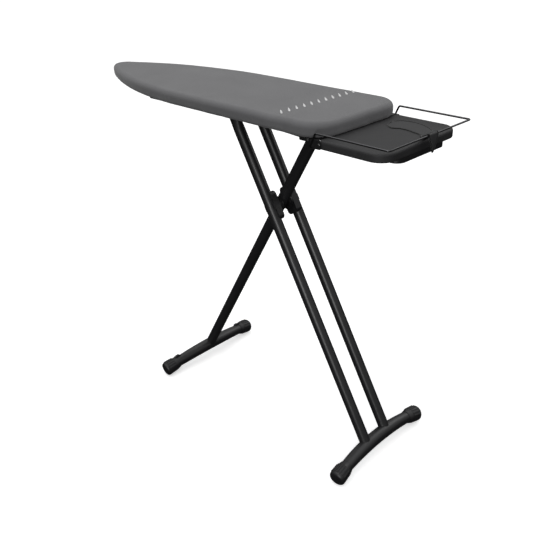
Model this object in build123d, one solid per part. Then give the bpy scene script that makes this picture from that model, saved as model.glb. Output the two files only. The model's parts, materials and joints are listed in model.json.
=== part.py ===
from build123d import *
import os
from math import atan2, cos, degrees, radians, sin, sqrt

# Folding ironing board with a padded rest and a wire guard at its square end.
# Millimetres, +Z up, +X towards the square end, origin at the middle of the footprint on the floor.

# ---- driving dimensions -------------------------------------------------------------------
OVERALL_LENGTH = 1225.0     # nose of the board to the strap on the guard
TABLE_HEIGHT = 1000.0       # floor to ironing surface
BOARD_LENGTH = 1030.0
BOARD_WIDTH = 336.0
BOARD_DEPTH = 36.0
NOSE_RADIUS = 42.0
CORNER_RADIUS = 74.0
FLANK_START = 528.0         # where the parallel side ends, measured from the nose
NOSE_TO_PIVOT = 748.0       # nose of the board to the scissor pivot
PIVOT_HEIGHT = 692.0
HINGE_HEIGHT = 946.0        # both upper leg ends turn at this height
LEG_SLOPE = 0.574           # sideways run of a leg for each unit of height
FOOT_HALF = 196.0           # middle of the object to a foot cap's end
TUBE_PITCH = 46.0           # twin tube axis from the middle plane
FOLD_DEGREES = 56.7         # travel of the inner leg, from standing to folded

# ---- tubes and sheets ---------------------------------------------------------------------
TUBE_R = 16.2
TUBE_WALL = 1.2
INNER_DEEP = 34.0           # inner leg's oval section, in the folding plane
INNER_WIDE = 26.0           # and across it
INNER_OFFSET = 2.5          # its axis lies this far outside the line through its two pins
SHEET = 1.0
GAP = 0.3                   # play between pieces that move past each other
RUNNING = 0.05              # radial clearance of a pin in its bore
PIN_R = 5.0
ROD_R = 6.0
WASHER = 2.5
SADDLE_HALF = 20.0
SADDLE_LONG = 42.0
BOLT_REACH = 27.0
HEAD_R = 18.0               # pressed end of an outer tube
HEAD_HALF = 12.0
KNUCKLE_R = 11.0
BUSH_R = 8.0
LUG = 3.0                   # clevis plate, its inner face and its round end
LUG_FACE = INNER_WIDE / 2 + 1.3
LUG_R = 15.0

# ---- worked-out places --------------------------------------------------------------------
LEAN = degrees(atan2(LEG_SLOPE, 1.0))
NOSE_X = -OVERALL_LENGTH / 2
END_X = OVERALL_LENGTH / 2
PIVOT_X = NOSE_X + NOSE_TO_PIVOT
BOARD_END = NOSE_X + BOARD_LENGTH
HALF = BOARD_WIDTH / 2
UPPER = (HINGE_HEIGHT - PIVOT_HEIGHT) / cos(radians(LEAN))
HINGE_X = PIVOT_X + (HINGE_HEIGHT - PIVOT_HEIGHT) * LEG_SLOPE
SLIDER_X = 2 * PIVOT_X - HINGE_X
TRAVEL = 2 * UPPER * (sin(radians(LEAN + FOLD_DEGREES)) - sin(radians(LEAN)))
BOARD_BOTTOM = TABLE_HEIGHT - BOARD_DEPTH

# ---- board layers -------------------------------------------------------------------------
COVER_SKIN = 2.0
COVER_HEM = 26.0
TOP_ROUND = 15.0
BOTTOM_ROUND = 8.0
PAD_TOP = TABLE_HEIGHT - COVER_SKIN
PLATE_TOP = PAD_TOP - 10.0
PLATE_BOTTOM = PLATE_TOP - SHEET
RIM_BOTTOM = BOARD_BOTTOM + COVER_SKIN + 1.6
PLATE_INSET = COVER_SKIN + 0.5
RIM_INSET = COVER_SKIN + 3.6
RIM_DEPTH = 18.0
CROSS_BOTTOM = RIM_BOTTOM + SHEET
CROSS_WIDTH = 34.0
HOLE_R = 5.0
HOLE_PITCH = 30.0
CORD_R = 2.0

# ---- rails, slider and lock ---------------------------------------------------------------
RAIL_IN, RAIL_OUT = 66.5, 83.0
TRACK_HALF = 10.0           # half the height of the slot that the shoes run in
BLOCK_LONG = 36.0
RAIL_START = SLIDER_X - TRAVEL - BLOCK_LONG
TRACK_TOP = HINGE_HEIGHT + TRACK_HALF
TRACK_BOTTOM = HINGE_HEIGHT - TRACK_HALF
RAIL_END = SLIDER_X + BLOCK_LONG
LOCK_X = RAIL_END + 30.0
LOCK_Y = -(RAIL_IN + RAIL_OUT) / 2
ADJUSTER_R = 4.0
FULCRUM_Y = LOCK_Y - 24.0
LEVER_BOTTOM = HINGE_HEIGHT + ADJUSTER_R + 2.0
LEVER_THICK = 3.0
GRIP_X = PIVOT_X + 211.0
GRIP_Y = -133.0
GRIP_HALF = 17.0

# ---- feet ---------------------------------------------------------------------------------
FOOT_AXIS_Z = 41.5          # height of the bar's axis at its crown
FOOT_RISE = 22.0            # crown above the cap ends, in the plane of the leg
BAR_HALF = 166.0
CAP_START = 146.0
BAR_CROWN = 41.0            # diameter of the bar at its crown and at its ends
BAR_TIP = 34.0
BAR_WALL = 1.2
CAP_STATIONS = (            # (distance from the middle, diameter) of a cap
    (CAP_START, 38.5),      # collar
    (CAP_START + 14.0, 46.0),
    (FOOT_HALF + 4.0, 49.5),
)
CAP_ROUND = 9.0
RIB_R = 2.0
RIB_SPREAD = 60             # degrees from the middle rib to the last one
RIB_STEP = 20
TONGUE_LEAN = 15.0
TONGUE_LONG = 18.0
TONGUE_HIGH = 8.0
TONGUE_HALF = 5.5

# ---- rest and guard -----------------------------------------------------------------------
REST_START = BOARD_END - 16.0
REST_END = PIVOT_X + 454.0
REST_HALF = 154.0
REST_TOP = 963.5
REST_BOTTOM = 941.0
REST_CORNER = 43.0
WIRE_R = 2.4
GUARD_Z = 981.0
GUARD_HALF = 166.0
GUARD_START = PIVOT_X + 267.0
STRAP_THICK = 2.0
GUARD_END = END_X - STRAP_THICK - GAP - WIRE_R
HOOK_X = PIVOT_X + 250.0
HOOK_Z = REST_BOTTOM + 4.0
EAR_IN = 155.0
EAR_THICK = 2.5
EAR_BOLT_X = REST_START + 5.5
EAR_BOLT_Z = REST_BOTTOM + 11.0
EAR_BOLT_R = 2.0
BEAM_HALF = 29.0            # narrow neck of the beam, under the board
TRAY_HALF = 98.0            # and its wide end, under the rest
TRAY_CORNER = 24.0
TRAY_START = REST_START - 4.0
BEAM_BOTTOM = 929.5
BEAM_END = REST_END - 0.5

parts = {}


def put(name, shape):
    """Keep one named piece."""
    parts[name] = shape


def box_between(low, high):
    """A box from its lowest to its highest corner."""
    size = [h - l for l, h in zip(low, high)]
    middle = [(h + l) / 2 for l, h in zip(low, high)]
    return Pos(*middle) * Box(*size)


def rod(start, end, radius):
    """A round bar between two points."""
    a, b = Vector(*start), Vector(*end)
    line = b - a
    plane = Plane(origin=a, z_dir=line)
    return extrude(plane * Circle(radius), line.length)


def pin_y(x, z, y0, y1, radius):
    """A round bar across the object."""
    return rod((x, y0, z), (x, y1, z), radius)


def ring_y(x, z, y0, y1, outer, inner):
    """A round sleeve across the object."""
    return pin_y(x, z, y0, y1, outer) - pin_y(x, z, y0 - 1, y1 + 1, inner)


def mirror_y(shape):
    """The same piece on the other side of the middle plane."""
    return mirror(shape, about=Plane.XZ)


def together(shapes):
    """Separate solids kept as one node."""
    return Compound(children=[s for shape in shapes for s in shape.solids()])


# ---- board --------------------------------------------------------------------------------
def board_face(inset):
    """Plan outline: round nose, long flank arcs, parallel sides, round square-end corners."""
    nose_r = NOSE_RADIUS - inset
    half = HALF - inset
    corner = CORNER_RADIUS - inset
    nose_c = NOSE_X + NOSE_RADIUS
    flank_x = NOSE_X + FLANK_START
    run = flank_x - nose_c
    flank_r = (run**2 + HALF**2 - NOSE_RADIUS**2) / (2 * (HALF - NOSE_RADIUS)) - inset
    flank_y = half - flank_r
    turn = atan2(-flank_y, -run)
    end = BOARD_END - inset
    knee = corner * (1 - sqrt(0.5))
    touch_x, touch_y = nose_c + nose_r * cos(turn), nose_r * sin(turn)
    tip = (turn + radians(180)) / 2
    halfway = atan2(touch_y - flank_y, touch_x - flank_x) / 2 + radians(45)
    edges = []
    for side in (1, -1):
        touch = (touch_x, side * touch_y)
        on_nose = (nose_c + nose_r * cos(tip), side * nose_r * sin(tip))
        on_flank = (flank_x + flank_r * cos(halfway), side * (flank_y + flank_r * sin(halfway)))
        edges += [
            ThreePointArc((NOSE_X + inset, 0), on_nose, touch),
            ThreePointArc(touch, on_flank, (flank_x, side * half)),
            Line((flank_x, side * half), (end - corner, side * half)),
            ThreePointArc((end - corner, side * half), (end - knee, side * (half - knee)),
                          (end, side * (half - corner))),
        ]
    edges.append(Line((end, half - corner), (end, corner - half)))
    return make_face(Wire(edges))


def board_slab(inset, low, high):
    """A slice of the board between two heights."""
    return extrude(Pos(0, 0, low) * board_face(inset), high - low)


def rounded_slab(inset, low, high, top_round, bottom_round):
    """A slice of the board with its upper and lower edges rounded."""
    slab = board_slab(inset, low, high)
    slab = fillet(slab.faces().sort_by(Axis.Z)[-1].edges(), top_round)
    return fillet(slab.faces().sort_by(Axis.Z)[0].edges(), bottom_round)


def board_layers():
    """Cover, its cord, pad, perforated plate and rim."""
    outer = rounded_slab(0, BOARD_BOTTOM, TABLE_HEIGHT, TOP_ROUND, BOTTOM_ROUND)
    inner = rounded_slab(COVER_SKIN, BOARD_BOTTOM + COVER_SKIN, PAD_TOP,
                         TOP_ROUND - COVER_SKIN, BOTTOM_ROUND - COVER_SKIN)
    mouth = board_slab(COVER_HEM, BOARD_BOTTOM - 1, RIM_BOTTOM + 1)
    put("cover", outer - inner - mouth)
    pad = board_slab(COVER_SKIN, PLATE_TOP, TABLE_HEIGHT) & inner
    put("pad", pad)
    put("top_plate", perforated_plate())
    put("rim", board_rim())
    path = Pos(0, 0, BOARD_BOTTOM + 1) * board_face(COVER_HEM + CORD_R + 0.2).face().outer_wire()
    start = path @ 0
    section = Plane(origin=start, z_dir=path % 0) * Circle(CORD_R)
    put("cover_cord", sweep(section, path=path))


def perforated_plate():
    """Sheet steel top with rows of round holes."""
    face = board_face(PLATE_INSET)
    inside = board_face(RIM_INSET + RIM_DEPTH + 2 * HOLE_R).face()
    columns = int(BOARD_LENGTH / HOLE_PITCH)
    rows = int(BOARD_WIDTH / HOLE_PITCH) - 1
    middle = (NOSE_X + BOARD_END) / 2
    grid = GridLocations(HOLE_PITCH, HOLE_PITCH, columns, rows)
    spots = [Vector(middle + g.position.X, g.position.Y) for g in grid]
    holes = [Pos(v.X, v.Y) * Circle(HOLE_R) for v in spots if inside.is_inside(v)]
    return extrude(Pos(0, 0, PLATE_BOTTOM) * (face - holes), SHEET)


def board_rim():
    """Rolled channel round the plate's edge, open towards the middle."""
    ring = board_slab(RIM_INSET, RIM_BOTTOM, PLATE_BOTTOM)
    ring -= board_slab(RIM_INSET + RIM_DEPTH, 0, TABLE_HEIGHT)
    return ring - board_slab(RIM_INSET + SHEET, RIM_BOTTOM + SHEET, PLATE_BOTTOM - SHEET)


def cross_member(x):
    """Folded steel strap from side to side, open upwards, let into the rim."""
    side = CROSS_WIDTH / 2
    body = box_between((x - side, -HALF, CROSS_BOTTOM), (x + side, HALF, PLATE_BOTTOM - SHEET))
    body -= box_between((x - side + SHEET, -HALF - 1, CROSS_BOTTOM + SHEET),
                        (x + side - SHEET, HALF + 1, TABLE_HEIGHT))
    return body & board_slab(RIM_INSET + SHEET, CROSS_BOTTOM, PLATE_BOTTOM)


CROSS_X = {
    "nose_cross_member": RAIL_START + 20.0,
    "middle_cross_member": (RAIL_START + RAIL_END) / 2 + 40.0,
    "lock_cross_member": LOCK_X,
    "hinge_cross_member": HINGE_X,
    "rest_cross_member": BOARD_END - CORNER_RADIUS,
}


# ---- rails and slider ---------------------------------------------------------------------
def rail():
    """Folded rail on the +Y side: a track open towards the middle, and a flange for screws."""
    body = box_between((RAIL_START, RAIL_IN, TRACK_BOTTOM - SHEET), (RAIL_END, RAIL_OUT, CROSS_BOTTOM))
    for low, high in ((TRACK_BOTTOM, TRACK_TOP), (TRACK_TOP + SHEET, CROSS_BOTTOM - SHEET)):
        body -= box_between((RAIL_START - 1, RAIL_IN - 1, low), (RAIL_END + 1, RAIL_OUT - SHEET, high))
    return body


def slider_block():
    """Plastic shoe that runs in the +Y rail and carries the cross rod's end."""
    outside = RAIL_OUT - SHEET - GAP
    shoe = box_between((SLIDER_X - BLOCK_LONG / 2, RAIL_IN, TRACK_BOTTOM + GAP),
                       (SLIDER_X + BLOCK_LONG / 2, outside, TRACK_TOP - GAP))
    shoe = fillet(shoe.edges().filter_by(Axis.Y), 3)
    return shoe - pin_y(SLIDER_X, HINGE_HEIGHT, RAIL_IN - 1, RAIL_OUT, ROD_R)


def slider_parts():
    """Cross rod, its shoes and retaining rings, and the adjuster rod."""
    reach = RAIL_OUT - SHEET - GAP - 2
    put("cross_rod", pin_y(SLIDER_X, HINGE_HEIGHT, -reach, reach, ROD_R))
    block = slider_block()
    put("slider_block_right", block)
    left = mirror_y(block)
    end = LOCK_X + TRAVEL + 38.0
    adjuster = rod((SLIDER_X + ROD_R + 2, LOCK_Y, HINGE_HEIGHT), (end, LOCK_Y, HINGE_HEIGHT), ADJUSTER_R)
    put("slider_block_left", left - adjuster)
    put("adjuster_rod", adjuster)
    collars = []
    for side in (-1, 1):
        y0 = side * (RAIL_IN - 1.0)
        y1 = side * (RAIL_IN - 3.5)
        collars.append(ring_y(SLIDER_X, HINGE_HEIGHT, min(y0, y1), max(y0, y1), ROD_R + 4, ROD_R))
    put("cross_rod_rings", together(collars))
    stop = rod((end - 9, LOCK_Y, HINGE_HEIGHT), (end - 3, LOCK_Y, HINGE_HEIGHT), ADJUSTER_R + 2.5)
    put("adjuster_stop", stop - adjuster)


# ---- height lock --------------------------------------------------------------------------
FULCRUM_X = LOCK_X + 16.0
FULCRUM_R = 3.0


def upright(low, high, radius):
    """A round bar on the lever's fulcrum, between two heights."""
    return rod((FULCRUM_X, FULCRUM_Y, low), (FULCRUM_X, FULCRUM_Y, high), radius)


def lock_housing():
    """Steel bracket under the lock cross member with two guide lugs for the adjuster rod."""
    body = box_between((LOCK_X - 26, LOCK_Y - 34, CROSS_BOTTOM - 2), (LOCK_X + 26, LOCK_Y + 14, CROSS_BOTTOM))
    for x in (LOCK_X - 26, LOCK_X + 24):
        body += box_between((x, LOCK_Y - 9, HINGE_HEIGHT - 9), (x + 2, LOCK_Y + 14, CROSS_BOTTOM))
    body -= rod((LOCK_X - 40, LOCK_Y, HINGE_HEIGHT), (LOCK_X + 40, LOCK_Y, HINGE_HEIGHT), ADJUSTER_R + GAP)
    return body - upright(HINGE_HEIGHT, CROSS_BOTTOM + 1, FULCRUM_R)


def release_lever():
    """Flat lever: a locking plate round the adjuster rod, a fulcrum eye and a long arm to the grip."""
    low, high = LEVER_BOTTOM, LEVER_BOTTOM + LEVER_THICK
    eye = Pos(FULCRUM_X, FULCRUM_Y) * Circle(9)
    arm = Polygon((LOCK_X - 2, LOCK_Y - 12), (FULCRUM_X, FULCRUM_Y - 8), (GRIP_X - 4, GRIP_Y - 6),
                  (GRIP_X - 4, GRIP_Y + 7), (FULCRUM_X + 30, FULCRUM_Y + 9), (FULCRUM_X, FULCRUM_Y + 10),
                  (LOCK_X - 2, LOCK_Y + 12), align=None)
    outline = Sketch() + eye + arm - Pos(FULCRUM_X, FULCRUM_Y) * Circle(FULCRUM_R + RUNNING)
    strip = extrude(Pos(0, 0, low) * outline, high - low)
    plate = box_between((LOCK_X - 2, LOCK_Y - 12, HINGE_HEIGHT - 11), (LOCK_X + 2, LOCK_Y + 12, high))
    hole = rod((LOCK_X - 9, LOCK_Y, HINGE_HEIGHT), (LOCK_X + 9, LOCK_Y, HINGE_HEIGHT), ADJUSTER_R + 1.7)
    return strip + plate - hole


def lever_grip():
    """Moulded handle on the lever's end, just inside the board's edge."""
    body = box_between((GRIP_X - GRIP_HALF, GRIP_Y - 12, LEVER_BOTTOM - 4),
                       (GRIP_X + GRIP_HALF, GRIP_Y + 12, LEVER_BOTTOM + LEVER_THICK + 3))
    body = fillet(body.edges().filter_by(Axis.Z), 8)
    body = fillet(body.edges().group_by(Axis.Z)[0] + body.edges().group_by(Axis.Z)[-1], 2.5)
    return body - parts["release_lever"]


def lever_spring():
    """Close coils of the return spring round the fulcrum pin."""
    wire = 0.8
    low = LEVER_BOTTOM + LEVER_THICK + wire + GAP
    start = (FULCRUM_X + 0.5, FULCRUM_Y - FULCRUM_R - 2, low)
    spring = rod(start, (FULCRUM_X + 26, FULCRUM_Y - 5, low), wire)
    for turn in range(4):
        spring += Pos(FULCRUM_X, FULCRUM_Y, low + 1.7 * wire * turn) * Torus(FULCRUM_R + 2, wire)
    return spring


def lock_parts():
    """Housing, fulcrum pin, lever, grip and spring."""
    put("lock_housing", lock_housing())
    shaft = upright(LEVER_BOTTOM - 1, CROSS_BOTTOM, FULCRUM_R)
    put("fulcrum_pin", shaft + upright(LEVER_BOTTOM - 4, LEVER_BOTTOM - GAP, FULCRUM_R + 3))
    put("release_lever", release_lever())
    put("lever_grip", lever_grip())
    put("lever_spring", lever_spring())


# ---- leg frames ---------------------------------------------------------------------------
INNER = Pos(PIVOT_X, 0, PIVOT_HEIGHT) * Rot(0, LEAN, 0)
OUTER = Pos(PIVOT_X, 0, PIVOT_HEIGHT) * Rot(0, -LEAN, 0)
CROWN = -(PIVOT_HEIGHT - FOOT_AXIS_Z) / cos(radians(LEAN))
ARC_R = (FOOT_HALF**2 + FOOT_RISE**2) / (2 * FOOT_RISE)


def foot_plane(y):
    """Section plane of a foot bar at a distance from its middle, in the leg's own frame."""
    turn = atan2(y, sqrt(ARC_R**2 - y**2))
    origin = (0, y, CROWN - ARC_R * (1 - cos(turn)))
    return Plane(origin=origin, x_dir=(1, 0, 0), z_dir=(0, cos(turn), -sin(turn)))


def bar_section(y, wall):
    """Round section that gets slimmer towards the ends of the bar."""
    share = (abs(y) / BAR_HALF) ** 2
    return foot_plane(y) * Circle((BAR_CROWN + (BAR_TIP - BAR_CROWN) * share) / 2 - wall)


def foot_solid(reach, wall):
    """Arched round bar from end to end."""
    stations = [reach * s for s in (-1, -0.66, -0.33, 0, 0.33, 0.66, 1)]
    return loft([bar_section(y, wall) for y in stations])


def foot_bar():
    """Hollow arched foot tube, in the leg's own frame."""
    return foot_solid(BAR_HALF, 0) - foot_solid(BAR_HALF + 2, BAR_WALL)


def foot_cap(side, tongue):
    """Ribbed plastic end cap for the +Y end of a foot bar. side is where its top leans to."""
    body = loft([foot_plane(y) * Circle(across / 2) for y, across in CAP_STATIONS], ruled=True)
    body = fillet(body.faces().sort_by(Axis.Y)[-1].edges(), CAP_ROUND)
    for spread in range(-RIB_SPREAD, RIB_SPREAD + 1, RIB_STEP):
        body += cap_rib(side * LEAN + spread)
    if tongue:
        body += cap_tongue(side * (LEAN + TONGUE_LEAN))
    return body


def cap_direction(plane, angle):
    """Unit direction in a cap's section, at an angle from the leg's own up."""
    up = plane.y_dir if plane.y_dir.Z > 0 else plane.y_dir * -1
    return plane.x_dir * sin(radians(angle)) + up * cos(radians(angle))


def cap_rib(angle):
    """One raised rib along a cap, at an angle round it."""
    ends = []
    for y, across in CAP_STATIONS[1:]:
        plane = foot_plane(y)
        ends.append(plane.origin + cap_direction(plane, angle) * (across / 2))
    line = ends[1] - ends[0]
    start = ends[0] + line.normalized() * RIB_R
    return extrude(Plane(origin=start, z_dir=line) * Circle(RIB_R), line.length - CAP_ROUND - 2 * RIB_R)


def cap_tongue(angle):
    """Lug on the cap's collar, at an angle round it, that reaches along the bar."""
    plane = foot_plane(CAP_START)
    out = cap_direction(plane, angle)
    base = plane.origin + out * (BAR_TIP / 2 - 1)
    lug_plane = Plane(origin=base, x_dir=plane.z_dir, z_dir=plane.z_dir.cross(out))
    high = TONGUE_HIGH if lug_plane.y_dir.dot(out) > 0 else -TONGUE_HIGH
    outline = Polygon((-TONGUE_LONG, 0), (3 - TONGUE_LONG, high * 0.7), (7 - TONGUE_LONG, high),
                      (-3, high), (8, high * 0.7), (8, 0), align=None)
    return extrude(lug_plane * outline, TONGUE_HALF, both=True)


def floor_trim(shape):
    """Cut a foot cap flat where it stands on the floor."""
    return shape - box_between((-2000, -2000, -100), (2000, 2000, 0))


def foot_set(frame, prefix, lean, tongue):
    """Bar and both caps of one foot, in place. lean is the sign of the way that its caps' tops face."""
    solid = frame * foot_solid(BAR_HALF, 0)
    put(prefix + "_foot_bar", frame * foot_bar())
    cap = foot_cap(lean, tongue)
    for side, shape in (("right", cap), ("left", mirror_y(cap))):
        put(f"{prefix}_foot_cap_{side}", floor_trim(frame * shape - solid))


def inner_leg():
    """Single oval leg with its hinge knuckle, pivot bush and foot."""
    length = UPPER - 5 - CROWN
    hollow = SlotOverall(INNER_DEEP - 2 * TUBE_WALL, INNER_WIDE - 2 * TUBE_WALL)
    tube = extrude(Pos(-INNER_OFFSET, 0, CROWN) * (SlotOverall(INNER_DEEP, INNER_WIDE) - hollow), length)
    wide = INNER_WIDE / 2
    tube -= pin_y(0, UPPER, -wide - 1, wide + 1, KNUCKLE_R)
    tube -= pin_y(0, 0, -wide - 1, wide + 1, BUSH_R)
    foot_frame = INNER * Pos(-INNER_OFFSET, 0, -INNER_OFFSET * LEG_SLOPE)
    tube = INNER * tube - foot_frame * foot_solid(BAR_HALF, 0)
    put("inner_leg_tube", tube.solids().sort_by(SortBy.VOLUME)[-1])
    put("inner_leg_knuckle", INNER * ring_y(0, UPPER, -wide, wide, KNUCKLE_R, BUSH_R))
    put("hinge_bush", INNER * ring_y(0, UPPER, -wide - 1, wide + 1, BUSH_R, PIN_R + RUNNING))
    put("pivot_bush", INNER * ring_y(0, 0, -wide, wide, BUSH_R, PIN_R + RUNNING))
    foot_set(foot_frame, "rear", -1, True)


def outer_tube():
    """One of the twin tubes, on the +Y side, pressed flat where the cross rod goes through."""
    press = UPPER - 60.0
    outer = extrude(Pos(0, 0, CROWN) * Circle(TUBE_R), press - CROWN)
    inner = extrude(Pos(0, 0, CROWN - 1) * Circle(TUBE_R - TUBE_WALL), press - CROWN - 4)
    flat = loft([Pos(0, 0, press) * Circle(TUBE_R), Pos(0, 0, UPPER - HEAD_R) * Ellipse(HEAD_R, HEAD_HALF)])
    head = extrude(Pos(0, 0, UPPER - HEAD_R) * Ellipse(HEAD_R, HEAD_HALF), HEAD_R)
    head += pin_y(0, UPPER, -HEAD_HALF, HEAD_HALF, HEAD_R)
    tube = Pos(0, TUBE_PITCH, 0) * (outer - inner + flat + head)
    return tube - pin_y(0, UPPER, TUBE_PITCH - 30, TUBE_PITCH + 30, ROD_R + RUNNING)


def saddle():
    """Plastic block that holds the +Y tube and carries the pivot bolt."""
    washer_face = INNER_WIDE / 2 + GAP + WASHER
    tube_face = TUBE_PITCH - TUBE_R
    block = box_between((-SADDLE_HALF, tube_face - 4, -SADDLE_LONG), (SADDLE_HALF, TUBE_PITCH, SADDLE_LONG))
    block = fillet(block.edges().filter_by(Axis.Y), 12)
    block += pin_y(0, 0, washer_face + 4, tube_face, 20)
    block += pin_y(0, 0, washer_face, washer_face + 4, 24)
    clip = Pos(0, TUBE_PITCH, 0) * Cylinder(TUBE_R + 4, 18)
    block += clip & box_between((-50, 0, -50), (50, TUBE_PITCH + 6, 50))
    block -= Pos(0, TUBE_PITCH, 0) * Cylinder(TUBE_R + 0.1, 200)
    return block - pin_y(0, 0, 0, BOLT_REACH + 1, PIN_R)


def outer_legs():
    """Twin tubes with their saddles, pivot bolt, washers and foot."""
    solid = OUTER * foot_solid(BAR_HALF, 0)
    tube = OUTER * outer_tube() - solid
    tube = tube.solids().sort_by(SortBy.VOLUME)[-1]
    put("outer_tube_right", tube)
    put("outer_tube_left", mirror_y(tube))
    block = OUTER * saddle()
    put("pivot_saddle_right", block)
    put("pivot_saddle_left", mirror_y(block))
    put("pivot_bolt", OUTER * pin_y(0, 0, -BOLT_REACH, BOLT_REACH, PIN_R))
    face = INNER_WIDE / 2 + GAP
    washers = [OUTER * ring_y(0, 0, y, y + WASHER, 18, PIN_R) for y in (face, -face - WASHER)]
    put("pivot_washers", together(washers))
    foot_set(OUTER, "front", 1, False)


# ---- upper hinge --------------------------------------------------------------------------
def hinge_bracket():
    """Folded steel clevis under the hinge cross member."""
    body = box_between((HINGE_X - 26, -32, CROSS_BOTTOM - LUG), (HINGE_X + 26, 32, CROSS_BOTTOM))
    for y in (LUG_FACE, -LUG_FACE - LUG):
        lug = box_between((HINGE_X - LUG_R, y, HINGE_HEIGHT), (HINGE_X + LUG_R, y + LUG, CROSS_BOTTOM))
        body += lug + pin_y(HINGE_X, HINGE_HEIGHT, y, y + LUG, LUG_R)
    return body - pin_y(HINGE_X, HINGE_HEIGHT, -40, 40, PIN_R)


def hinge_parts():
    """Clevis, its pin and the pin's nut."""
    outside = LUG_FACE + LUG
    put("hinge_bracket", hinge_bracket())
    shaft = pin_y(HINGE_X, HINGE_HEIGHT, -outside, outside + 9, PIN_R)
    head = pin_y(HINGE_X, HINGE_HEIGHT, -outside - 4, -outside, 9)
    put("hinge_pin", shaft + head)
    nut = Rot(90, 0, 0) * extrude(RegularPolygon(8, 6), 3.5, both=True)
    nut = Pos(HINGE_X, outside + 3.5, HINGE_HEIGHT) * nut
    put("hinge_nut", nut - pin_y(HINGE_X, HINGE_HEIGHT, 0, 40, PIN_R))


# ---- rest and guard -----------------------------------------------------------------------
def rest_face(inset):
    """Plan outline of the rest: straight inner end, round outer corners."""
    start, end, half = REST_START + inset, REST_END - inset, REST_HALF - inset
    face = Pos((start + end) / 2, 0) * Rectangle(end - start, 2 * half)
    outer = face.vertices().sort_by(Axis.X)[-2:]
    return fillet(outer, REST_CORNER - inset)


def rest_slab(inset, low, high):
    """A slice of the rest between two heights."""
    return extrude(Pos(0, 0, low) * rest_face(inset), high - low)


def rest_bolt_shank():
    """Shank of the +Y bolt, from the ear into the pan."""
    return pin_y(EAR_BOLT_X, EAR_BOLT_Z, REST_HALF - 6, EAR_IN + EAR_THICK, EAR_BOLT_R)


def rest_layers():
    """Base pan, foam and cover of the padded rest."""
    skin = 1.5
    outer = rest_slab(0, REST_BOTTOM, REST_TOP)
    outer = fillet(outer.faces().sort_by(Axis.Z)[-1].edges(), 7)
    outer = fillet(outer.faces().sort_by(Axis.Z)[0].edges(), 3)
    inner = rest_slab(skin, REST_BOTTOM + skin, REST_TOP - skin)
    inner = fillet(inner.faces().sort_by(Axis.Z)[-1].edges(), 6)
    mouth = rest_slab(14, REST_BOTTOM - 1, REST_BOTTOM + skin + 1)
    shanks = rest_bolt_shank() + mirror_y(rest_bolt_shank())
    beam = box_between((REST_START - 1, -TRAY_HALF, REST_BOTTOM - 1),
                       (REST_END + 1, TRAY_HALF, REST_BOTTOM + skin))
    put("rest_cover", outer - inner - mouth - shanks - beam)
    edge = 2.5
    pan = rest_slab(skin + edge, REST_BOTTOM + skin, REST_BOTTOM + skin + 16)
    pan -= rest_slab(skin + edge + SHEET, REST_BOTTOM + skin + SHEET, REST_TOP)
    put("rest_pan", pan - shanks)
    foam = rest_slab(skin, REST_BOTTOM + skin + SHEET, REST_TOP) & inner
    put("rest_foam", foam - pan - shanks)


def rest_beam():
    """Pressed steel beam: a post and a narrow neck under the board, then a wide tray under the rest."""
    high = REST_BOTTOM + 1.5
    start = BOARD_END - CORNER_RADIUS - 26
    post_end = start + 44
    tray = box_between((TRAY_START, -TRAY_HALF, BEAM_BOTTOM), (BEAM_END, TRAY_HALF, high))
    tray = fillet(tray.edges().filter_by(Axis.Z), TRAY_CORNER)
    hollow = box_between((TRAY_START + 2, 2 - TRAY_HALF, BEAM_BOTTOM + 2),
                         (BEAM_END - 2, TRAY_HALF - 2, high + 1))
    hollow = fillet(hollow.edges().filter_by(Axis.Z), TRAY_CORNER - 2)
    neck = box_between((start, -BEAM_HALF, BEAM_BOTTOM), (TRAY_START + 2, BEAM_HALF, high))
    post = box_between((start, -BEAM_HALF, BEAM_BOTTOM), (post_end, BEAM_HALF, CROSS_BOTTOM))
    inside = (start + 2, 2 - BEAM_HALF, BEAM_BOTTOM + 2)
    slot = box_between(inside, (TRAY_START + 4, BEAM_HALF - 2, high + 1))
    shaft = box_between(inside, (post_end - 2, BEAM_HALF - 2, CROSS_BOTTOM - 2))
    return (tray - hollow) + (neck + post - shaft) - slot


def rest_ear():
    """Side plate on the +Y side, with an arm to the rest cross member, that holds the rest and the guard."""
    low, high = HOOK_Z - 4, REST_TOP - 1
    near, far, arm = HOOK_X - 6, REST_START + 10, EAR_IN - 40
    plate = box_between((near, EAR_IN, low), (far, EAR_IN + EAR_THICK, high))
    plate = fillet(plate.edges().filter_by(Axis.Y), 4)
    arm_end = CROSS_X["rest_cross_member"] - CROSS_WIDTH / 2
    plate += box_between((near, arm, high - 2), (REST_START - GAP, EAR_IN + 1, high))
    plate += box_between((arm_end, arm, high - 2), (HOOK_X, EAR_IN - 22, high))
    plate += box_between((arm_end, arm, high - 2), (arm_end + CROSS_WIDTH, EAR_IN - 24, CROSS_BOTTOM))
    plate -= pin_y(HOOK_X, HOOK_Z, EAR_IN - 5, EAR_IN + 9, WIRE_R)
    return plate - pin_y(EAR_BOLT_X, EAR_BOLT_Z, EAR_IN - 5, EAR_IN + 9, EAR_BOLT_R)


def rest_parts():
    """Beam, ears, bolts, layers, guard and strap."""
    rest_layers()
    put("rest_beam", rest_beam())
    ear = rest_ear()
    put("rest_ear_right", ear)
    put("rest_ear_left", mirror_y(ear))
    outside = EAR_IN + EAR_THICK
    head = pin_y(EAR_BOLT_X, EAR_BOLT_Z, outside, outside + 2.5, 2 * EAR_BOLT_R)
    bolt = rest_bolt_shank() + fillet(head.faces().sort_by(Axis.Y)[-1].edges(), 1.5)
    put("rest_bolts", together([bolt, mirror_y(bolt)]))
    put("guard_wire", guard_wire())
    put("strap", strap())


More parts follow.
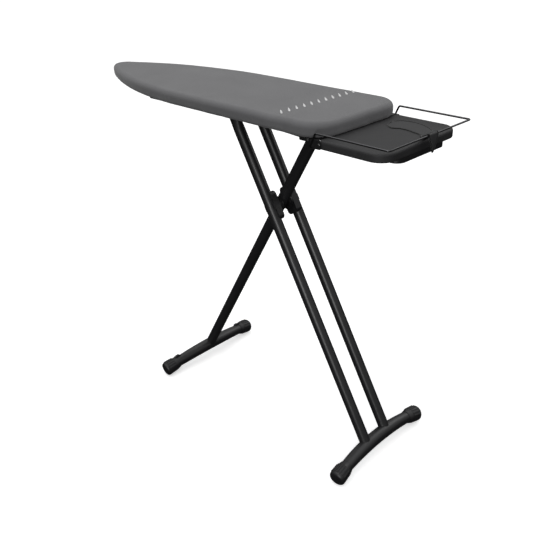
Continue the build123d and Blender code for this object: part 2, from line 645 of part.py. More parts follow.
def guard_wire():
    """One bent steel wire: two hooked ends, two raised side rails and the outer bar."""
    y = GUARD_HALF
    side = [(HOOK_X, EAR_IN - 3, HOOK_Z), (HOOK_X, y, HOOK_Z),
            (GUARD_START, y, GUARD_Z), (GUARD_END, y, GUARD_Z)]
    other = [(x, -yy, z) for x, yy, z in reversed(side)]
    path = FilletPolyline(*(side + other), radius=6)
    section = Plane(origin=path @ 0, z_dir=path % 0) * Circle(WIRE_R)
    return sweep(section, path=path)


STRAP_HALF = 17.0
STRAP_LOW = REST_TOP + GAP
STRAP_TURN = WIRE_R + GAP        # inside radius of its turn over the guard
STRAP_LIFT = REST_END - 24.0     # where it leaves the rest's top
STRAP_TIP_Z = GUARD_Z - 41.0


def strap():
    """Soft tongue on the rest: it narrows to a strap that turns over the guard and ends in a point."""
    return strap_profile() & (strap_plan() + strap_point())


def strap_profile():
    """The strap's path seen from the side, pulled wide across the object."""
    low, high = STRAP_LOW, STRAP_LOW + STRAP_THICK
    inside, outside = STRAP_TURN, STRAP_TURN + STRAP_THICK
    sheet = Polygon((REST_START, low), (STRAP_LIFT, low), (GUARD_END - inside, GUARD_Z),
                    (GUARD_END - outside, GUARD_Z), (STRAP_LIFT - STRAP_THICK, high),
                    (REST_START, high), align=None)
    bend = Pos(GUARD_END, GUARD_Z) * (Circle(outside) - Circle(inside))
    bend &= Polygon((0, GUARD_Z), (END_X, GUARD_Z), (END_X, TABLE_HEIGHT), (0, TABLE_HEIGHT), align=None)
    fall = Polygon((GUARD_END + inside, GUARD_Z), (GUARD_END + outside, GUARD_Z),
                   (GUARD_END + outside, STRAP_TIP_Z), (GUARD_END + inside, STRAP_TIP_Z), align=None)
    return extrude(Plane.XZ * (sheet + bend + fall), REST_HALF, both=True)


def strap_plan():
    """Plan shape of the strap, as a tall cutter: rounded lobe on the rest, narrow at the guard."""
    start, neck = REST_START + 44.0, GUARD_END - 14.0
    near = Spline((start, 62.0), (start + 16, 36.0), (start + 54, 38.0), (start + 112, 27.0),
                  (neck, -STRAP_HALF))
    far = Spline((neck, STRAP_HALF), (start + 112, 76.0), (start + 60, 104.0), (start + 14, 96.0),
                 (start, 62.0))
    end = Polyline((neck, -STRAP_HALF), (GUARD_END, -STRAP_HALF), (GUARD_END, STRAP_HALF),
                   (neck, STRAP_HALF))
    face = make_face(Wire([near, far] + list(end.edges())))
    return extrude(Pos(0, 0, BOARD_BOTTOM - BOARD_DEPTH) * face, 2 * BOARD_DEPTH)


def strap_point():
    """Cutter that leaves the hanging end of the strap pointed."""
    half, shoulder, top = STRAP_HALF, GUARD_Z - 2, TABLE_HEIGHT
    outline = Polygon((-half, top), (-half, shoulder), (0, STRAP_TIP_Z + 1), (half, shoulder),
                      (half, top), align=None)
    return extrude(Pos(GUARD_END, 0, 0) * (Plane.YZ * outline), END_X - GUARD_END)


# ---- everything ---------------------------------------------------------------------------
def screw_set():
    """Screws that fix rails and hinge bracket to the cross members."""
    shapes = []
    for x in (CROSS_X["nose_cross_member"], CROSS_X["middle_cross_member"]):
        for y in (LOCK_Y, -LOCK_Y):
            shapes.append(rod((x, y, CROSS_BOTTOM - SHEET - 2), (x, y, CROSS_BOTTOM - SHEET), 4))
    for x in (HINGE_X - 21, HINGE_X + 21):
        for y in (-25.0, 25.0):
            shapes.append(rod((x, y, CROSS_BOTTOM - LUG - 3), (x, y, CROSS_BOTTOM - LUG), 4.5))
    return together(shapes)


def build():
    board_layers()
    for name, x in CROSS_X.items():
        put(name, cross_member(x))
    channel = rail()
    put("rail_right", channel)
    put("rail_left", mirror_y(channel))
    slider_parts()
    lock_parts()
    hinge_parts()
    inner_leg()
    outer_legs()
    rest_parts()
    put("frame_screws", screw_set())


build()
os.makedirs("parts", exist_ok=True)
for name, shape in parts.items():
    export_step(shape, f"parts/{name}.step")
print(len(parts), "nodes;", "fold travel of the slider", round(TRAVEL, 1), "pivot x", round(PIVOT_X, 1))
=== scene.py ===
import json
from math import atan2, cos, pi, radians, sin, sqrt
import bpy
from mathutils import Matrix, Vector
from mathutils.noise import noise as soft_noise


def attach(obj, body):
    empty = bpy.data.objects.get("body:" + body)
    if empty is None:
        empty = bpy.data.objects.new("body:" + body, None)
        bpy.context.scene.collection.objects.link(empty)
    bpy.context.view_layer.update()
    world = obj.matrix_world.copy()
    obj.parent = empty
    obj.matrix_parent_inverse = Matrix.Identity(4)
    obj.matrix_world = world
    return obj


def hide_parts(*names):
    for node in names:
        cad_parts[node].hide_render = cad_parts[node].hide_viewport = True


# Folding ironing board. Metres, +Z up, +X towards the square end, origin on the floor in the middle.

# ---- the board's own dimensions, as in the CAD source --------------------------------------
NOSE_X = -0.6125
BOARD_LENGTH = 1.030
HALF = 0.168
NOSE_RADIUS = 0.042
CORNER_RADIUS = 0.074
FLANK_START = 0.528
TOP_Z = 1.000
DEPTH = 0.036
TOP_ROUND, LOW_ROUND = 0.015, 0.008
PIVOT_X = 0.1355
REST_START, REST_END, REST_HALF = 0.4015, 0.5895, 0.154
REST_TOP, REST_BOTTOM, REST_CORNER = 0.9635, 0.941, 0.043
GUARD_X, GUARD_Z, GUARD_R = 0.6078, 0.981, 0.0024
STRAP_THICK = 0.0018
STRAP_HALF = 0.017          # half its width where it turns over the guard
STRAP_DROP = 0.040          # how far its tip hangs below the guard
# radius of the near-black bead round the strap, which paints the shadow gaps at its edges
SHADE_BINDING_R = 0.0021
HEM_IN = 0.0235             # the hem's fold, measured inwards from the outline
HEM_ROLL = 0.0022
LIP = 0.0014                # thickness of the turned-in edge under the board


# ---- materials ------------------------------------------------------------------------------
THREADS = 1 / 0.0011 / 3.2      # wave scale of a 1.1 mm weave
FINE_RELIEF = 0.0004
STRAND_SCALE = 260.0


def shader(name, color, roughness, metallic=0.0, specular=0.5, sheen=0.0):
    """A material with its Principled shader set, and the nodes to build on."""
    material = bpy.data.materials.new(name)
    material.use_nodes = True
    tree = material.node_tree
    main = tree.nodes["Principled BSDF"]
    main.inputs["Base Color"].default_value = (*color, 1)
    main.inputs["Roughness"].default_value = roughness
    main.inputs["Metallic"].default_value = metallic
    main.inputs["Specular IOR Level"].default_value = specular
    main.inputs["Sheen Weight"].default_value = sheen
    return material, tree, main


def coordinates(tree, scale=(1, 1, 1), turn=(0, 0, 0)):
    """Object coordinates in metres, scaled."""
    source = tree.nodes.new("ShaderNodeTexCoord")
    mapping = tree.nodes.new("ShaderNodeMapping")
    mapping.inputs["Scale"].default_value = scale
    mapping.inputs["Rotation"].default_value = turn
    tree.links.new(source.outputs["Object"], mapping.inputs["Vector"])
    return mapping.outputs["Vector"]


def noise(tree, vector, scale, detail=3.0, roughness=0.5):
    """A noise texture's value."""
    node = tree.nodes.new("ShaderNodeTexNoise")
    node.inputs["Scale"].default_value = scale
    node.inputs["Detail"].default_value = detail
    node.inputs["Roughness"].default_value = roughness
    tree.links.new(vector, node.inputs["Vector"])
    return node.outputs["Fac"]


def wave(tree, vector, scale, axis):
    """Parallel bands along one axis."""
    node = tree.nodes.new("ShaderNodeTexWave")
    node.bands_direction = axis
    node.inputs["Scale"].default_value = scale
    node.inputs["Distortion"].default_value = 0.0
    tree.links.new(vector, node.inputs["Vector"])
    return node.outputs["Fac"]


def mixed(tree, factor, low, high):
    """A colour that goes from low to high with a value."""
    ramp = tree.nodes.new("ShaderNodeValToRGB")
    ramp.color_ramp.elements[0].position = 0.3
    ramp.color_ramp.elements[1].position = 0.7
    ramp.color_ramp.elements[0].color = (*low, 1)
    ramp.color_ramp.elements[1].color = (*high, 1)
    tree.links.new(factor, ramp.inputs["Fac"])
    return ramp.outputs["Color"]


def spread(tree, factor, low, high):
    """A value mapped from 0..1 to low..high."""
    node = tree.nodes.new("ShaderNodeMapRange")
    node.inputs["To Min"].default_value = low
    node.inputs["To Max"].default_value = high
    tree.links.new(factor, node.inputs["Value"])
    return node.outputs["Result"]


def product(tree, a, b):
    """Two values multiplied."""
    node = tree.nodes.new("ShaderNodeMath")
    node.operation = "MULTIPLY"
    tree.links.new(a, node.inputs[0])
    tree.links.new(b, node.inputs[1])
    return node.outputs["Value"]


def bump(tree, main, height, strength, distance):
    """Surface relief from a value, in metres at full strength."""
    node = tree.nodes.new("ShaderNodeBump")
    node.inputs["Strength"].default_value = strength
    node.inputs["Distance"].default_value = distance
    tree.links.new(height, node.inputs["Height"])
    tree.links.new(node.outputs["Normal"], main.inputs["Normal"])


def woven(name, color, light):
    """Plain-weave cloth with slight cloudiness."""
    material, tree, main = shader(name, color, 0.86, specular=0.28, sheen=0.25)
    vector = coordinates(tree)
    warp = wave(tree, vector, THREADS, "X")
    weft = wave(tree, vector, THREADS, "Y")
    cloud = noise(tree, vector, 9.0, 5.0, 0.6)
    tree.links.new(mixed(tree, cloud, color, light), main.inputs["Base Color"])
    bump(tree, main, product(tree, warp, weft), 0.35, FINE_RELIEF)
    return material


def powder_coat(name, color, light, roughness, specular=0.42):
    """Satin powder-coated steel with a faint orange peel."""
    material, tree, main = shader(name, color, roughness, specular=specular)
    vector = coordinates(tree)
    cloud = noise(tree, vector, 14.0, 3.0)
    tree.links.new(mixed(tree, cloud, color, light), main.inputs["Base Color"])
    wear = spread(tree, noise(tree, vector, 60.0, 2.0), roughness - 0.05, roughness + 0.06)
    tree.links.new(wear, main.inputs["Roughness"])
    bump(tree, main, noise(tree, vector, 900.0, 2.0), 0.12, FINE_RELIEF)
    return material


def moulded(name, color, light, roughness, specular=0.4):
    """Moulded plastic with a fine eroded grain."""
    material, tree, main = shader(name, color, roughness, specular=specular)
    vector = coordinates(tree)
    tree.links.new(mixed(tree, noise(tree, vector, 40.0), color, light), main.inputs["Base Color"])
    bump(tree, main, noise(tree, vector, 1400.0, 2.0), 0.25, 0.0003)
    return material


def metal(name, color, roughness):
    """Drawn or plated steel with fine lines across its height."""
    material, tree, main = shader(name, color, roughness, metallic=1.0)
    vector = coordinates(tree, (30, 30, 900))
    lines = noise(tree, vector, 1.0, 3.0)
    tree.links.new(spread(tree, lines, roughness - 0.08, roughness + 0.12), main.inputs["Roughness"])
    bump(tree, main, lines, 0.08, 0.0002)
    return material


def vinyl(name, color, light, roughness, specular):
    """Coated cloth with a fine pebble grain."""
    material, tree, main = shader(name, color, roughness, specular=specular)
    vector = coordinates(tree)
    cells = tree.nodes.new("ShaderNodeTexVoronoi")
    cells.inputs["Scale"].default_value = 620.0
    tree.links.new(vector, cells.inputs["Vector"])
    cloud = noise(tree, vector, 22.0, 4.0)
    tree.links.new(mixed(tree, cloud, color, light), main.inputs["Base Color"])
    tree.links.new(spread(tree, cloud, roughness - 0.06, roughness + 0.08), main.inputs["Roughness"])
    bump(tree, main, cells.outputs["Distance"], 0.22, FINE_RELIEF)
    return material


def foam(name, color, light):
    """Open-cell foam or felt."""
    material, tree, main = shader(name, color, 0.95, specular=0.15, sheen=0.2)
    vector = coordinates(tree)
    pores = noise(tree, vector, 1500.0, 2.0)
    tree.links.new(mixed(tree, pores, color, light), main.inputs["Base Color"])
    bump(tree, main, pores, 0.6, 0.0006)
    return material


def braid(name, color, light):
    """Braided cord."""
    material, tree, main = shader(name, color, 0.8, specular=0.2, sheen=0.2)
    vector = coordinates(tree, turn=(0, 0, radians(45)))
    strands = product(tree, wave(tree, vector, STRAND_SCALE, "X"), wave(tree, vector, STRAND_SCALE, "Y"))
    tree.links.new(mixed(tree, strands, color, light), main.inputs["Base Color"])
    bump(tree, main, strands, 0.6, 0.0005)
    return material


MATERIALS = {
    "cover": lambda: woven("cover_cloth", (0.110, 0.110, 0.114), (0.130, 0.130, 0.134)),
    "mark": lambda: woven("mark_print", (0.60, 0.60, 0.60), (0.70, 0.70, 0.70)),
    "cord": lambda: braid("hem_cord", (0.05, 0.05, 0.052), (0.09, 0.09, 0.09)),
    "pad": lambda: foam("felt_pad", (0.52, 0.51, 0.49), (0.60, 0.59, 0.57)),
    "foam": lambda: foam("rest_foam_cells", (0.12, 0.12, 0.12), (0.20, 0.20, 0.20)),
    "mesh_steel": lambda: powder_coat("grey_coat", (0.24, 0.24, 0.25), (0.28, 0.28, 0.29), 0.5),
    "steel_dark": lambda: powder_coat("black_coat", (0.012, 0.012, 0.013), (0.016, 0.016, 0.017), 0.36, 0.62),
    "bright_steel": lambda: metal("black_zinc", (0.17, 0.17, 0.17), 0.36),
    "guard_steel": lambda: metal("guard_dark_bright", (0.085, 0.085, 0.088), 0.30),
    "plastic": lambda: moulded("black_plastic", (0.010, 0.010, 0.011), (0.014, 0.014, 0.015), 0.42, 0.55),
    "bush": lambda: moulded("pale_acetal", (0.55, 0.55, 0.52), (0.60, 0.60, 0.57), 0.4),
    "rest_cover": lambda: vinyl("rest_vinyl", (0.026, 0.026, 0.027), (0.033, 0.033, 0.034), 0.60, 0.30),
    "strap": lambda: vinyl("strap_vinyl", (0.033, 0.033, 0.034), (0.040, 0.040, 0.041), 0.60, 0.30),
    # near-black edge binding: a bead round the strap coloured as painted shade for the shadow gaps along its
    # edges
    "shade_binding": lambda: braid("strap_edge_binding_painted_shade", (0.006, 0.006, 0.006), (0.012, 0.012, 0.012)),
}


def make_materials():
    """Every material by its slot."""
    return {name: make() for name, make in MATERIALS.items()}


def dress(frame, looks):
    """Every CAD node gets the material of its slot in the record."""
    slots = {s["node"]: s["material_slot"] for s in frame["record"]["subparts"]}
    for name, node in frame["nodes"].items():
        node.data.materials.clear()
        node.data.materials.append(looks[slots[name]])


# ---- mesh helpers ---------------------------------------------------------------------------
def mesh_object(name, points, faces, material):
    """A smooth-shaded mesh that rides on the board."""
    mesh = bpy.data.meshes.new(name)
    mesh.from_pydata(points, [], faces)
    mesh.update()
    for polygon in mesh.polygons:
        polygon.use_smooth = True
    mesh.materials.append(material)
    made = bpy.data.objects.new(name, mesh)
    bpy.context.scene.collection.objects.link(made)
    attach(made, "board")
    return made


def ring_faces(rings, count, closed=True):
    """Quads between successive rings of the same number of points."""
    faces = []
    for r in range(rings - 1):
        for i in range(count if closed else count - 1):
            j = (i + 1) % count
            faces.append((r * count + i, r * count + j, (r + 1) * count + j, (r + 1) * count + i))
    return faces


def arc(centre, radius, start, end, count):
    """Points on an arc, without its last one."""
    step = (end - start) / count
    turns = [start + step * i for i in range(count)]
    return [(centre[0] + radius * cos(a), centre[1] + radius * sin(a)) for a in turns]


def board_outline(inset, counts=(20, 70, 26, 22, 26)):
    """Plan outline of the board from the middle of the nose, the same number of points at any inset."""
    nose_c = NOSE_X + NOSE_RADIUS
    flank_x = NOSE_X + FLANK_START
    run = flank_x - nose_c
    flank = (run**2 + HALF**2 - NOSE_RADIUS**2) / (2 * (HALF - NOSE_RADIUS))
    flank_y = HALF - flank
    turn = atan2(-flank_y, -run)
    nose_n, flank_n, side_n, corner_n, end_n = counts
    end = NOSE_X + BOARD_LENGTH
    corner = (end - CORNER_RADIUS, HALF - CORNER_RADIUS)
    half = arc((nose_c, 0), NOSE_RADIUS - inset, pi, turn, nose_n)
    half += arc((flank_x, flank_y), flank - inset, turn, pi / 2, flank_n)
    side_start = (flank_x, HALF - inset)
    side_run = corner[0] - flank_x
    half += [(side_start[0] + side_run * i / side_n, side_start[1]) for i in range(side_n)]
    half += arc(corner, CORNER_RADIUS - inset, pi / 2, 0, corner_n)
    top_end = HALF - CORNER_RADIUS
    half += [(end - inset, top_end * (1 - 2 * i / end_n)) for i in range(end_n // 2 + 1)]
    other = [(x, -y) for x, y in reversed(half[1:-1])]
    return (half + other)[::-1]


def clamp(value, low, high):
    """A value kept between two limits."""
    return max(low, min(high, value))


# ---- the board's cover ----------------------------------------------------------------------
def cover_profile():
    """(inset, height) from the crest of the top round the side to the hem's roll and back inside."""
    bottom = TOP_Z - DEPTH
    quarter = [radians(90 * i / 9) for i in range(10)]
    roll = [radians(180 * i / 6) for i in range(7)]
    side = TOP_Z - TOP_ROUND - bottom - LOW_ROUND
    points = [(TOP_ROUND + 0.022, TOP_Z), (TOP_ROUND + 0.012, TOP_Z), (TOP_ROUND + 0.005, TOP_Z)]
    points += [(TOP_ROUND * (1 - sin(a)), TOP_Z - TOP_ROUND * (1 - cos(a))) for a in quarter]
    points += [(0.0, TOP_Z - TOP_ROUND - side * i / 5) for i in range(1, 5)]
    points += [(LOW_ROUND * (1 - cos(a)), bottom + LOW_ROUND * (1 - sin(a))) for a in quarter[::2]]
    points += [(0.012, bottom), (0.017, bottom), (HEM_IN - 0.002, bottom)]
    points += [(HEM_IN + HEM_ROLL * sin(a), bottom + 0.0016 - HEM_ROLL * cos(a)) for a in roll]
    points += [(0.020, bottom + LIP), (0.012, bottom + LIP)]
    return points


def pucker(travelled, height, x):
    """Small pulls of the cloth: strongest at the hem, faint on the crest, more towards the square end."""
    low = clamp((TOP_Z - CREST_BAND - height) / (DEPTH - CREST_BAND), 0, 1)
    end = clamp((x + 0.1) / 0.4, 0, 1)
    gather = soft_noise(Vector((travelled * 62, height * 18, 3.1))) * 0.0013 * low * low
    fold = soft_noise(Vector((travelled * 15, height * 40, 7.7))) * 0.0022 * low * (0.35 + 0.65 * end)
    swell = soft_noise(Vector((travelled * 10, height * 14, 1.4))) * 0.0013 * end
    return gather + fold + swell - 0.0006 * low


TOP_RINGS = 14
CREST_BAND = 0.004          # height below the top over which the folds grow


def cover_points():
    """Rings of the cover from the spine line of the top outwards and round to the inside of the hem."""
    profile = cover_profile()
    rings = []
    crest = board_outline(profile[0][0])
    spine_low, spine_high = NOSE_X + 0.10, NOSE_X + BOARD_LENGTH - 0.10
    for k in range(TOP_RINGS):
        share = k / TOP_RINGS
        ring = []
        for x, y in crest:
            sx, sy = clamp(x, spine_low, spine_high), 0.0
            px, py = sx + (x - sx) * share, sy + (y - sy) * share
            ring.append((px, py, TOP_Z + puff(px, py)))
        rings.append(ring)
    for inset, height in profile:
        line = board_outline(inset)
        ring, travelled = [], 0.0
        for i, (x, y) in enumerate(line):
            before = line[i - 1]
            travelled += sqrt((x - before[0]) ** 2 + (y - before[1]) ** 2) if i else 0.0
            out = Vector((x - clamp(x, spine_low, spine_high), y, 0)).normalized()
            push = pucker(travelled, height, x)
            lift = puff(x, y) if height > TOP_Z - CREST_BAND else 0.0
            ring.append((x + out.x * push, y + out.y * push, height + lift))
        rings.append(ring)
    return rings


def puff(x, y):
    """Gentle unevenness of the padded top."""
    wide = soft_noise(Vector((x * 7, y * 9, 0.3))) * 0.0007
    return wide + soft_noise(Vector((x * 24, y * 26, 5.2))) * 0.00025


def make_cover(looks):
    """The board's cloth cover."""
    rings = cover_points()
    count = len(rings[0])
    points = [p for ring in rings for p in ring]
    cover = mesh_object("board_cover", points, ring_faces(len(rings), count), looks["cover"])
    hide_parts("cover")


TICK_POINTS = 24
TICK_COUNT = 11
TICK_HALF, TICK_WIDE = 0.0190, 0.0042
TICK_X = PIVOT_X + 0.123
TICK_FIRST, TICK_PITCH = -0.127, 0.028
TICK_LOW, TICK_HIGH = 0.0002, 0.0005      # its edge and its face, above the cloth


def tick_outline():
    """Plain tapered stroke, long side along its own X."""
    turns = [2 * pi * k / TICK_POINTS for k in range(TICK_POINTS)]
    return [(TICK_HALF * cos(a), TICK_WIDE * sin(a) * (0.62 + 0.38 * cos(a))) for a in turns]


def make_marks(looks):
    """A row of plain ticks across the top near the square end."""
    turn = radians(-42)
    for i in range(TICK_COUNT):
        y = TICK_FIRST + TICK_PITCH * i
        spots = []
        for px, py in tick_outline():
            spots.append((TICK_X + px * cos(turn) - py * sin(turn), y + px * sin(turn) + py * cos(turn)))
        points = [(qx, qy, TOP_Z + TICK_LOW) for qx, qy in spots]
        points += [(qx, qy, TOP_Z + TICK_HIGH + puff(qx, qy)) for qx, qy in spots]
        faces = ring_faces(2, TICK_POINTS) + [tuple(range(TICK_POINTS, 2 * TICK_POINTS))]
        mark = mesh_object(f"tick_{i}", points, faces, looks["mark"])


# ---- rest -----------------------------------------------------------------------------------
def rest_outline(inset, side_n=16, corner_n=14, end_n=28):
    """Plan outline of the rest, the same number of points at any inset."""
    start, end, half = REST_START + inset, REST_END - inset, REST_HALF - inset
    corner = (REST_END - REST_CORNER, REST_HALF - REST_CORNER)
    inner_r = max(0.006 - inset, 0.001)
    line = arc((start + inner_r, half - inner_r), inner_r, pi, pi / 2, 5)
    line += [(start + inner_r + (corner[0] - start - inner_r) * i / side_n, half) for i in range(side_n)]
    line += arc(corner, REST_CORNER - inset, pi / 2, 0, corner_n)
    line += [(end, corner[1] * (1 - 2 * i / end_n)) for i in range(end_n + 1)]
    mirror = [(x, -y) for x, y in reversed(line[:-end_n - 1])]
    inner = [(start, -(half - inner_r) + 2 * (half - inner_r) * (i + 1) / (end_n + 1)) for i in range(end_n)]
    return (line + mirror + inner)[::-1]


def rest_profile():
    """(inset, height) from the top's edge to the lip underneath."""
    top_r, low_r = 0.0075, 0.0035
    points = [(0.020, REST_TOP + 0.0006), (0.013, REST_TOP + 0.0004)]
    upper = [radians(90 * i / 8) for i in range(9)]
    lower = [radians(18 * i) for i in range(6)]
    points += [(top_r - top_r * sin(a), REST_TOP - top_r + top_r * cos(a)) for a in upper]
    points += [(0.0, REST_TOP - top_r - 0.010 * i / 4) for i in range(1, 4)]
    points += [(low_r * (1 - cos(a)), REST_BOTTOM + low_r * (1 - sin(a))) for a in lower]
    points += [(0.009, REST_BOTTOM), (0.014, REST_BOTTOM + 0.0002)]
    points += [(0.014, REST_BOTTOM + 0.0014), (0.009, REST_BOTTOM + 0.0015)]
    return points


REST_RINGS = 9
REST_SPINE = 0.09           # half the length of the line that the top's rings close in on


def make_rest_cover(looks):
    """Rest cover: rings from its top's middle line outwards, down the side and under the lip."""
    profile = rest_profile()
    crest = rest_outline(profile[0][0])
    middle = (REST_START + REST_END) / 2
    rings = []
    for k in range(REST_RINGS):
        share = k / REST_RINGS
        height = REST_TOP + 0.0010 - 0.0004 * share
        ring = []
        for x, y in crest:
            spine_y = clamp(y, -REST_SPINE, REST_SPINE)
            ring.append((middle + (x - middle) * share, spine_y * (1 - share) + y * share, height))
        rings.append(ring)
    rings += [[(x, y, height) for x, y in rest_outline(inset)] for inset, height in profile]
    count = len(rings[0])
    points = [p for ring in rings for p in ring]
    cover = mesh_object("rest_pad_cover", points, ring_faces(len(rings), count), looks["rest_cover"])
    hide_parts("rest_cover")


# ---- strap ----------------------------------------------------------------------------------
def curve_through(knots, value):
    """Smooth interpolation of (position, value) knots."""
    last = len(knots) - 2
    for k in range(last + 1):
        (a, va), (b, vb) = knots[k], knots[k + 1]
        if value <= b or k == last:
            before = knots[k - 1] if k else knots[k]
            after = knots[k + 2] if k + 2 < len(knots) else knots[k + 1]
            share = clamp((value - a) / (b - a), 0, 1)
            slope_a = (vb - before[1]) / (b - before[0]) * (b - a)
            slope_b = (after[1] - va) / (after[0] - a) * (b - a)
            s2, s3 = share**2, share**3
            return (va * (2 * s3 - 3 * s2 + 1) + slope_a * (s3 - 2 * s2 + share)
                    + vb * (3 * s2 - 2 * s3) + slope_b * (s3 - s2))


def strap_path():
    """(x, z) down the middle of the strap: along the rest, up to the guard, over it and down."""
    low = REST_TOP + 0.0005 + STRAP_THICK / 2
    turn = GUARD_R + 0.0003 + STRAP_THICK / 2
    start, lift = REST_START + 0.044, REST_END - 0.024
    rise_x, rise_z = GUARD_X - turn, GUARD_Z + 0.0005
    points = [(start + (lift - start) * i / 30, low) for i in range(31)]
    for i in range(1, 10):
        share = i / 10
        bow = share * share * (3 - 2 * share) * 0.35 + share * 0.65
        points.append((lift + (rise_x - lift) * share, low + (rise_z - low) * bow))
    over = [radians(15 * i) for i in range(13)]
    points += [(GUARD_X - turn * cos(a), GUARD_Z + turn * sin(a)) for a in over]
    fall = [i / 10 for i in range(1, 11)]
    points += [(GUARD_X + turn + 0.0006 * sin(pi * t), GUARD_Z - STRAP_DROP * t) for t in fall]
    return points


def strap_edges(travelled, total):
    """y of the near and far edge at a distance along the strap."""
    near = [(0.0, 0.070), (0.003, 0.056), (0.010, 0.043), (0.022, 0.034), (0.032, 0.031), (0.048, 0.039),
            (0.066, 0.040), (0.090, 0.034), (0.112, 0.027), (0.130, 0.010), (0.148, -0.013),
            (0.160, -STRAP_HALF), (total - 0.044, -STRAP_HALF), (total - 0.036, -0.0155), (total, -0.0012)]
    far = [(0.0, 0.074), (0.003, 0.086), (0.014, 0.098), (0.040, 0.104), (0.070, 0.100), (0.112, 0.076),
           (0.135, 0.042), (0.150, 0.020), (0.160, STRAP_HALF), (total - 0.044, STRAP_HALF),
           (total - 0.036, 0.0155), (total, 0.0012)]
    return curve_through(near, travelled), curve_through(far, travelled)


def tube_along(name, line, radius, material, sides=8):
    """A closed round bead along a loop of points."""
    points = []
    count = len(line)
    for i, here in enumerate(line):
        ahead = (Vector(line[(i + 1) % count]) - Vector(line[i - 1])).normalized()
        side = ahead.cross(Vector((0.3, 0.1, 1))).normalized()
        up = side.cross(ahead)
        for k in range(sides):
            turn = 2 * pi * k / sides
            points.append(Vector(here) + side * radius * cos(turn) + up * radius * sin(turn))
    faces = ring_faces(count, sides)
    last = (count - 1) * sides
    faces += [(last + k, last + (k + 1) % sides, (k + 1) % sides, k) for k in range(sides)]
    return mesh_object(name, points, faces, material)


def make_strap(looks):
    """Soft tongue with a bound edge that narrows to the strap over the guard. Its binding is near-black:
    painted shade for the shadow gaps along the strap's edges.
    """
    path = strap_path()
    travelled = [0.0]
    for a, b in zip(path, path[1:]):
        travelled.append(travelled[-1] + sqrt((a[0] - b[0]) ** 2 + (a[1] - b[1]) ** 2))
    total, across = travelled[-1], 14
    points = []
    for (x, z), t in zip(path, travelled):
        near, far = strap_edges(t, total)
        for k in range(across + 1):
            y = near + (far - near) * k / across
            points.append((x, y, z))
    faces = []
    for r in range(len(path) - 1):
        for k in range(across):
            a = r * (across + 1) + k
            faces.append((a, a + 1, a + across + 2, a + across + 1))
    strap = mesh_object("soft_strap", points, faces, looks["strap"])
    thick = strap.modifiers.new("thickness", "SOLIDIFY")
    thick.thickness = STRAP_THICK
    thick.offset = 0
    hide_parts("strap")
    rows = len(path)
    # the near-black bead round the strap's border paints the shadow gaps at its edges
    border = [points[r * (across + 1)] for r in range(rows)]
    border += [points[(rows - 1) * (across + 1) + k] for k in range(1, across + 1)]
    border += [points[r * (across + 1) + across] for r in range(rows - 2, -1, -1)]
    border += [points[k] for k in range(across - 1, 0, -1)]
    shade_binding = tube_along("strap_binding_painted_shade", border, SHADE_BINDING_R, looks["shade_binding"])


# ---- stage ----------------------------------------------------------------------------------
def add_camera():
    """Camera that sees the board from its square end and a little above."""
    azimuth, elevation, roll = radians(44.59), radians(27.81), radians(-1.218)
    back = Vector((sin(azimuth) * cos(elevation), -cos(azimuth) * cos(elevation), sin(elevation)))
    right = Vector((cos(azimuth), sin(azimuth), 0))
    up = back.cross(right)
    r = right * cos(roll) + up * sin(roll)
    u = up * cos(roll) - right * sin(roll)
    place = Vector((PIVOT_X + 1.2701, -1.3237, 1.4244))
    data = bpy.data.cameras.new("camera")
    data.lens = 44.67
    data.sensor_width = 36.0
    camera = bpy.data.objects.new("camera", data)
    camera.matrix_world = Matrix.LocRotScale(place, Matrix((r, u, back)).transposed(), None)
    bpy.context.scene.collection.objects.link(camera)
    bpy.context.scene.camera = camera


def area_light(name, place, target, size, watts):
    """A soft rectangular lamp that points at a target."""
    data = bpy.data.lights.new(name, "AREA")
    data.shape = "RECTANGLE"
    data.size, data.size_y = size
    data.energy = watts
    lamp = bpy.data.objects.new(name, data)
    lamp.location = place
    lamp.rotation_euler = (Vector(target) - Vector(place)).to_track_quat("-Z", "Y").to_euler()
    bpy.context.scene.collection.objects.link(lamp)


def add_floor():
    """White floor that takes faint soft shadows and sends no light back up."""
    mesh = bpy.data.meshes.new("floor")
    reach, low = 14.0, -0.0005
    mesh.from_pydata([(-reach, -reach, low), (reach, -reach, low), (reach, reach, low), (-reach, reach, low)],
                     [], [(0, 1, 2, 3)])
    floor = bpy.data.objects.new("floor", mesh)
    material, tree, main = shader("floor_paint", (0.90, 0.90, 0.90), 0.9, specular=0.1)
    cloud = noise(tree, coordinates(tree), 1.5)
    tree.links.new(mixed(tree, cloud, (0.89, 0.89, 0.89), (0.90, 0.90, 0.90)), main.inputs["Base Color"])
    main.inputs["Emission Color"].default_value = (1, 1, 1, 1)
    main.inputs["Emission Strength"].default_value = 0.5
    mesh.materials.append(material)
    bpy.context.scene.collection.objects.link(floor)
    floor.visible_diffuse = False
    floor.visible_glossy = False


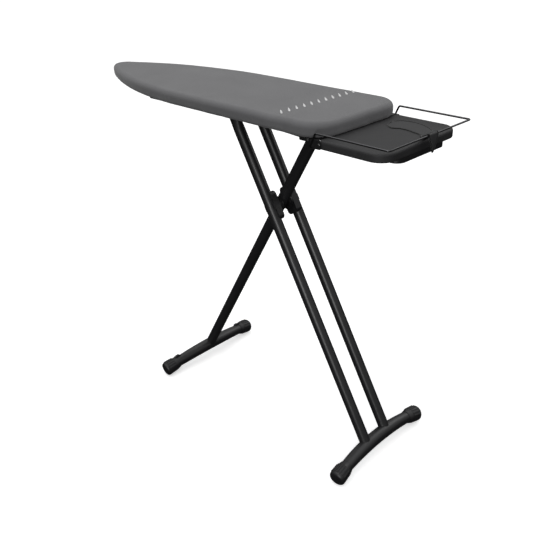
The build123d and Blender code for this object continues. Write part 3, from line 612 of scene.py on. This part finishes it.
def add_world():
    """Soft light from overhead that fades towards the horizon, behind an even white backdrop."""
    world = bpy.data.worlds.new("studio")
    world.use_nodes = True
    tree = world.node_tree
    source = tree.nodes.new("ShaderNodeTexCoord")
    split = tree.nodes.new("ShaderNodeSeparateXYZ")
    tree.links.new(source.outputs["Generated"], split.inputs["Vector"])
    level = tree.nodes.new("ShaderNodeMapRange")
    level.inputs["From Min"].default_value = 0.0
    level.inputs["From Max"].default_value = 0.85
    level.inputs["To Min"].default_value = 0.02
    level.inputs["To Max"].default_value = 0.86
    tree.links.new(split.outputs["Z"], level.inputs["Value"])
    seen = tree.nodes.new("ShaderNodeLightPath")
    brighter = tree.nodes.new("ShaderNodeMath")
    brighter.operation = "MAXIMUM"
    tree.links.new(level.outputs["Result"], brighter.inputs[0])
    tree.links.new(seen.outputs["Is Camera Ray"], brighter.inputs[1])
    tree.links.new(brighter.outputs["Value"], tree.nodes["Background"].inputs["Strength"])
    tree.nodes["Background"].inputs["Color"].default_value = (1, 1, 1, 1)
    bpy.context.scene.world = world


def add_stage():
    """Floor, sky and three soft lamps."""
    add_floor()
    add_world()
    area_light("key", (-0.3, -0.4, 3.6), (0.1, 0, 0.9), (2.6, 2.2), 30)
    area_light("strip", (2.0, -2.9, 1.2), (0.1, 0, 0.4), (0.7, 1.8), 36)
    area_light("back", (0.6, 2.8, 2.4), (0.1, 0, 0.9), (2.0, 1.2), 10)
    bpy.context.scene.view_settings.view_transform = "Standard"


with open("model.json") as file:
    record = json.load(file)
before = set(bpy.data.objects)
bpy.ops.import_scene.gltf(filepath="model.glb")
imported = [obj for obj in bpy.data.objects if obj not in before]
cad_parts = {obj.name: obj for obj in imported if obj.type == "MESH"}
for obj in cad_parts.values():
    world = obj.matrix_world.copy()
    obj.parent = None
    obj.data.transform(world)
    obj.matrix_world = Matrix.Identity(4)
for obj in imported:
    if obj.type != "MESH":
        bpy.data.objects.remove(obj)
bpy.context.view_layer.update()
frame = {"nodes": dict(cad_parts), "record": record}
looks = make_materials()
dress(frame, looks)
make_cover(looks)
make_marks(looks)
make_rest_cover(looks)
make_strap(looks)
add_camera()
add_stage()
